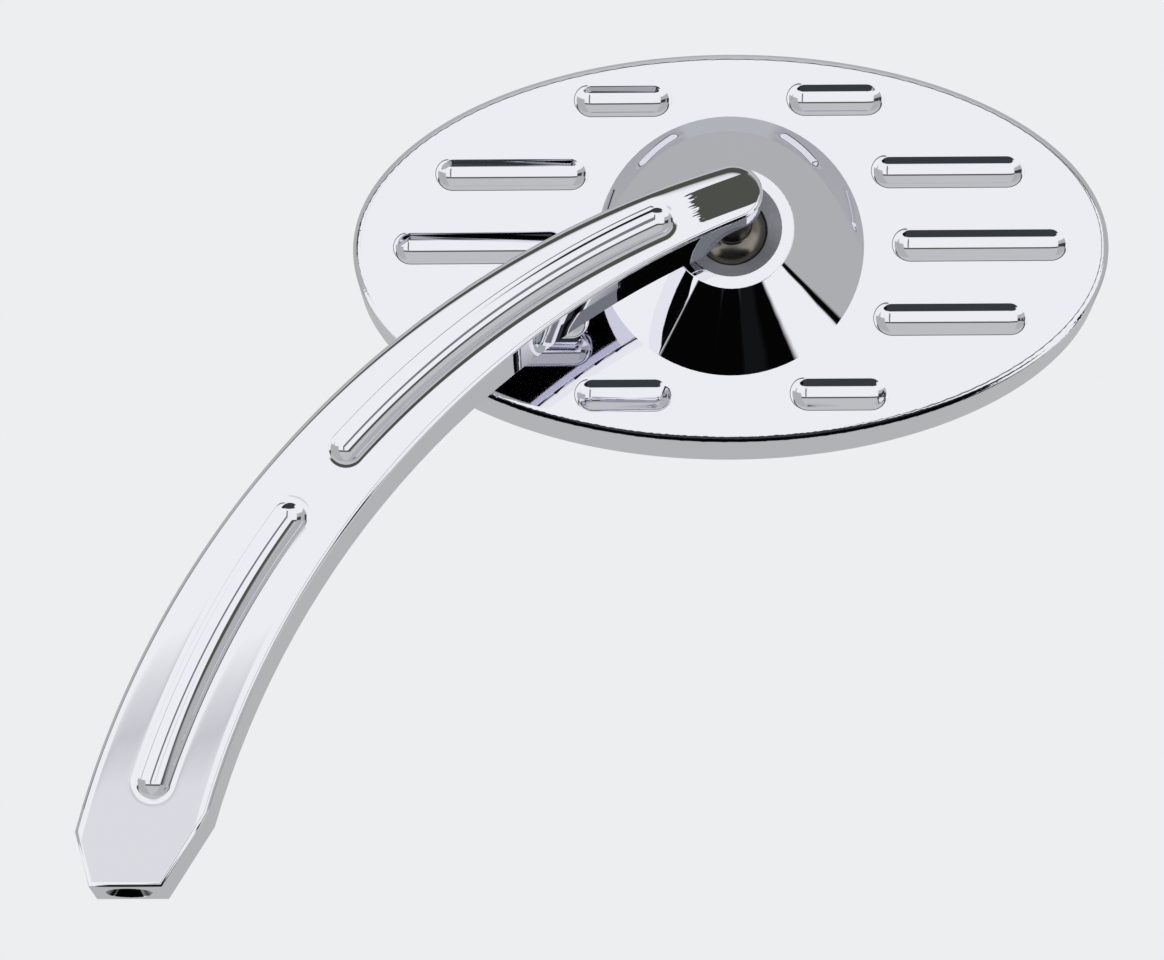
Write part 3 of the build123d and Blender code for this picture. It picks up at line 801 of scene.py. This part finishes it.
def closedFoam(values):
    mat, tree = newMaterial("closed-cell foam")
    place = addNode(tree, "ShaderNodeTexCoord")
    cells = addNode(tree, "ShaderNodeTexVoronoi", values={"Scale": 1 / values["cell"]},
                    links={"Vector": place.outputs["Object"]})
    tone = addNode(tree, "ShaderNodeMixRGB", links={"Fac": cells.outputs["Distance"]},
                   values={"Color1": linear(values["tint"]), "Color2": linear(values["wall"])})
    bump = addNode(tree, "ShaderNodeBump", values={"Strength": 1.0, "Distance": values["cellDepth"]},
                   links={"Height": cells.outputs["Distance"]})
    bsdf = addNode(tree, "ShaderNodeBsdfPrincipled", values={"Roughness": values["roughness"]},
                   links={"Base Color": tone, "Normal": bump})
    addNode(tree, "ShaderNodeOutputMaterial", links={"Surface": bsdf})
    return mat


dress("glass_pad", closedFoam(foamValues))
print("materials made")

# studio: what polished metal sees in each direction, as colours at degrees above the horizon
studio = {
    "backdrop": "#EDEEF0",
    "front": [(-76.8, "#050505"), (-76, "#3A3F41"), (-41, "#3A3F41"), (-39.5, "#FFFFFF"), (20.9, "#FFFFFF"),
              (21.6, "#4E524A"), (28, "#55584F"), (32, "#CACCCB")],
    "frontRight": [(-39, "#141516"), (-36, "#FFFFFF"), (0, "#FFFFFF"), (3, "#B9BBBA")],
    "frontLeft": [(-51, "#050505"), (-50, "#FFFFFF"), (-12, "#FFFFFF"), (-8, "#B9BBBA"), (6, "#B9BBBA"),
                  (9, "#3A3F41"), (22, "#3A3F41"), (26, "#B9BBBA")],
    "right": [(-54, "#050505"), (-51, "#FFFFFF"), (-27, "#FFFFFF"), (-26, "#050505"), (-23, "#050505"),
              (-22, "#B9BBBA")],
    "left": [(-51, "#050505"), (-50, "#FFFFFF"), (-12, "#FFFFFF"), (-8, "#B9BBBA")],
    "behind": [(-40, "#050505"), (-25, "#B9BBBA")],
    "behindCorner": [(-40, "#050505"), (-25, "#B9BBBA"), (-13, "#E8EAEB"), (-3, "#9A9D9E"), (14, "#B9BBBA")],
    "frontEdge": (-0.79, -0.71),  # compass y where the front wall ends
    "cornerEdge": (-0.42, -0.36),  # and where the corners beside it end
    "sideEdge": (-0.1, 0.1),  # compass x where left turns into right
    "behindEdge": (0.35, 0.6),  # compass y where the wall behind starts
    "behindCornerEdge": (0.4, 0.6),  # compass x, on either side, where that wall turns
}
# what stands before the front wall and shades it, between two places in compass x
studioCards = [
    {"stops": [(9.0, "#FFFFFF"), (9.6, "#EBEBEC"), (12.3, "#EBEBEC"), (12.9, "#C3C4C6"), (13.7, "#FFFFFF")],
     "start": (-0.17, -0.16), "end": (-0.088, -0.079)},
    {"stops": [(-31, "#FFFFFF"), (-29, "#808286"), (19, "#808286"), (20.5, "#FFFFFF")],
     "start": (0.165, 0.175), "end": (0.3, 0.31)},
]
# each mix: its name, the edge that it crosses, and what lies on either side
zoneMixes = [
    ("sides", "sideEdge", "left", "right"),
    ("corners", "sideEdge", "frontLeft", "frontRight"),
    ("wayRound", "cornerEdge", "corners", "sides"),
    ("ahead", "frontEdge", "front", "wayRound"),
    ("back", "behindCornerEdge", "behind", "behindCorner"),
    ("around", "behindEdge", "ahead", "back"),
]


# a ramp from straight down to straight up, from stops of degrees above the horizon and colours
def setRamp(node, stops):
    ramp = node.color_ramp
    while len(ramp.elements) < len(stops):
        ramp.elements.new(0.5)
    for element, (degrees, colour) in zip(ramp.elements, stops):
        element.position = degrees / 180 + 0.5
        element.color = linear(colour)


def shadedWall(tree, wall, cards, rise, compassX):
    for card in cards:
        shade = addNode(tree, "ShaderNodeValToRGB", links={"Fac": rise})
        setRamp(shade, card["stops"])
        (startLow, startHigh), (endLow, endHigh) = card["start"], card["end"]
        started = addNode(tree, "ShaderNodeMapRange", links={"Value": compassX},
                          values={"From Min": startLow, "From Max": startHigh})
        share = addNode(tree, "ShaderNodeMapRange", links={"Value": compassX, "To Max": started},
                        values={"From Min": endHigh, "From Max": endLow})
        wall = addNode(tree, "ShaderNodeMixRGB", blend_type="MULTIPLY",
                       links={"Fac": share, "Color1": wall, "Color2": shade})
    return wall


def makeWorld(values, cards, mixes):
    world = bpy.data.worlds.new("studio")
    scene.world = world
    world.use_nodes = True
    tree = world.node_tree
    tree.nodes.clear()
    place = addNode(tree, "ShaderNodeTexCoord")
    parts = addNode(tree, "ShaderNodeSeparateXYZ", links={"Vector": place.outputs["Generated"]})
    angle = addNode(tree, "ShaderNodeMath", links={0: parts.outputs["Z"]}, operation="ARCSINE")
    rise = addNode(tree, "ShaderNodeMath", values={1: 1 / math.pi, 2: 0.5}, links={0: angle},
                   operation="MULTIPLY_ADD")
    zones = {}
    for name in ("front", "frontRight", "frontLeft", "right", "left", "behind", "behindCorner"):
        zones[name] = addNode(tree, "ShaderNodeValToRGB", links={"Fac": rise})
        setRamp(zones[name], values[name])

    # compass direction, from x and y alone
    flat = addNode(tree, "ShaderNodeCombineXYZ", links={"X": parts.outputs["X"], "Y": parts.outputs["Y"]})
    unit = addNode(tree, "ShaderNodeVectorMath", links={0: flat}, operation="NORMALIZE")
    compass = addNode(tree, "ShaderNodeSeparateXYZ", links={"Vector": unit}).outputs
    eitherSide = addNode(tree, "ShaderNodeMath", links={0: compass["X"]}, operation="ABSOLUTE")
    sources = {"frontEdge": compass["Y"], "cornerEdge": compass["Y"], "sideEdge": compass["X"],
               "behindEdge": compass["Y"], "behindCornerEdge": eitherSide}
    edges = {}
    for name, source in sources.items():
        low, high = values[name]
        edges[name] = addNode(tree, "ShaderNodeMapRange", values={"From Min": low, "From Max": high},
                              links={"Value": source})
    zones["front"] = shadedWall(tree, zones["front"], cards, rise, compass["X"])
    for name, edge, first, second in mixes:
        zones[name] = addNode(tree, "ShaderNodeMixRGB", links={"Fac": edges[edge], "Color1": zones[first],
                                                               "Color2": zones[second]})
    path = addNode(tree, "ShaderNodeLightPath")
    seen = addNode(tree, "ShaderNodeMixRGB", values={"Color2": linear(values["backdrop"])},
                   links={"Fac": path.outputs["Is Camera Ray"], "Color1": zones["around"]})
    light = addNode(tree, "ShaderNodeBackground", links={"Color": seen})
    addNode(tree, "ShaderNodeOutputWorld", links={"Surface": light})


makeWorld(studio, studioCards, zoneMixes)

# pale floor paint, worn a little in patches
floorSetup = {
    "height": -0.26,  # well below the mirror
    "size": 8.0,
    "tint": "#E9EAEC",
    "worn": "#E4E5E8",
    "roughness": 0.8,
    "patch": 0.4,
    "glow": 0.75,  # share of its own tone that the camera sees in any light
}


def floorPaint(values):
    mat, tree = newMaterial("floor paint")
    place = addNode(tree, "ShaderNodeTexCoord")
    marks = addNode(tree, "ShaderNodeTexNoise", values={"Scale": 1 / values["patch"], "Detail": 3.0},
                    links={"Vector": place.outputs["Object"]})
    tone = addNode(tree, "ShaderNodeMixRGB", links={"Fac": marks.outputs["Fac"]},
                   values={"Color1": linear(values["worn"]), "Color2": linear(values["tint"])})
    bsdf = addNode(tree, "ShaderNodeBsdfPrincipled", values={"Roughness": values["roughness"]},
                   links={"Base Color": tone})
    path = addNode(tree, "ShaderNodeLightPath")
    glow = addNode(tree, "ShaderNodeMath", values={1: values["glow"]},
                   links={0: path.outputs["Is Camera Ray"]}, operation="MULTIPLY")
    pale = addNode(tree, "ShaderNodeEmission", links={"Color": tone})
    seen = addNode(tree, "ShaderNodeMixShader", links={0: glow, 1: bsdf, 2: pale})
    addNode(tree, "ShaderNodeOutputMaterial", links={"Surface": seen})
    return mat


def makeFloor(setup):
    mesh = bpy.data.meshes.new("floor")
    half = setup["size"] / 2
    corners = [(-half, -half), (half, -half), (half, half), (-half, half)]
    mesh.from_pydata([(x, y, setup["height"]) for x, y in corners], [], [(0, 1, 2, 3)])
    mesh.materials.append(floorPaint(setup))
    floor = bpy.data.objects.new("floor", mesh)
    scene.collection.objects.link(floor)
    floor.visible_glossy = False  # the metal mirrors the studio alone


makeFloor(floorSetup)

studioLamps = [
    {"name": "key", "place": (-0.7, -0.9, 0.9), "size": 0.8, "power": 12},
    {"name": "fill", "place": (0.9, -0.8, 0.5), "size": 0.9, "power": 6},
    {"name": "top", "place": (0.1, 0.3, 1.2), "size": 1.0, "power": 8},
]


def makeLamps(lamps, target):
    for lamp in lamps:
        data = bpy.data.lights.new(lamp["name"], "AREA")
        data.size = lamp["size"]
        data.energy = lamp["power"]
        light = bpy.data.objects.new(lamp["name"], data)
        scene.collection.objects.link(light)
        light.location = lamp["place"]
        light.rotation_euler = (target - Vector(lamp["place"])).to_track_quat("-Z", "Y").to_euler()
        light.visible_glossy = False
        light.visible_camera = False


makeLamps(studioLamps, (cadLow + cadHigh) / 2)
print("studio set")

scene.view_settings.view_transform = "Standard"
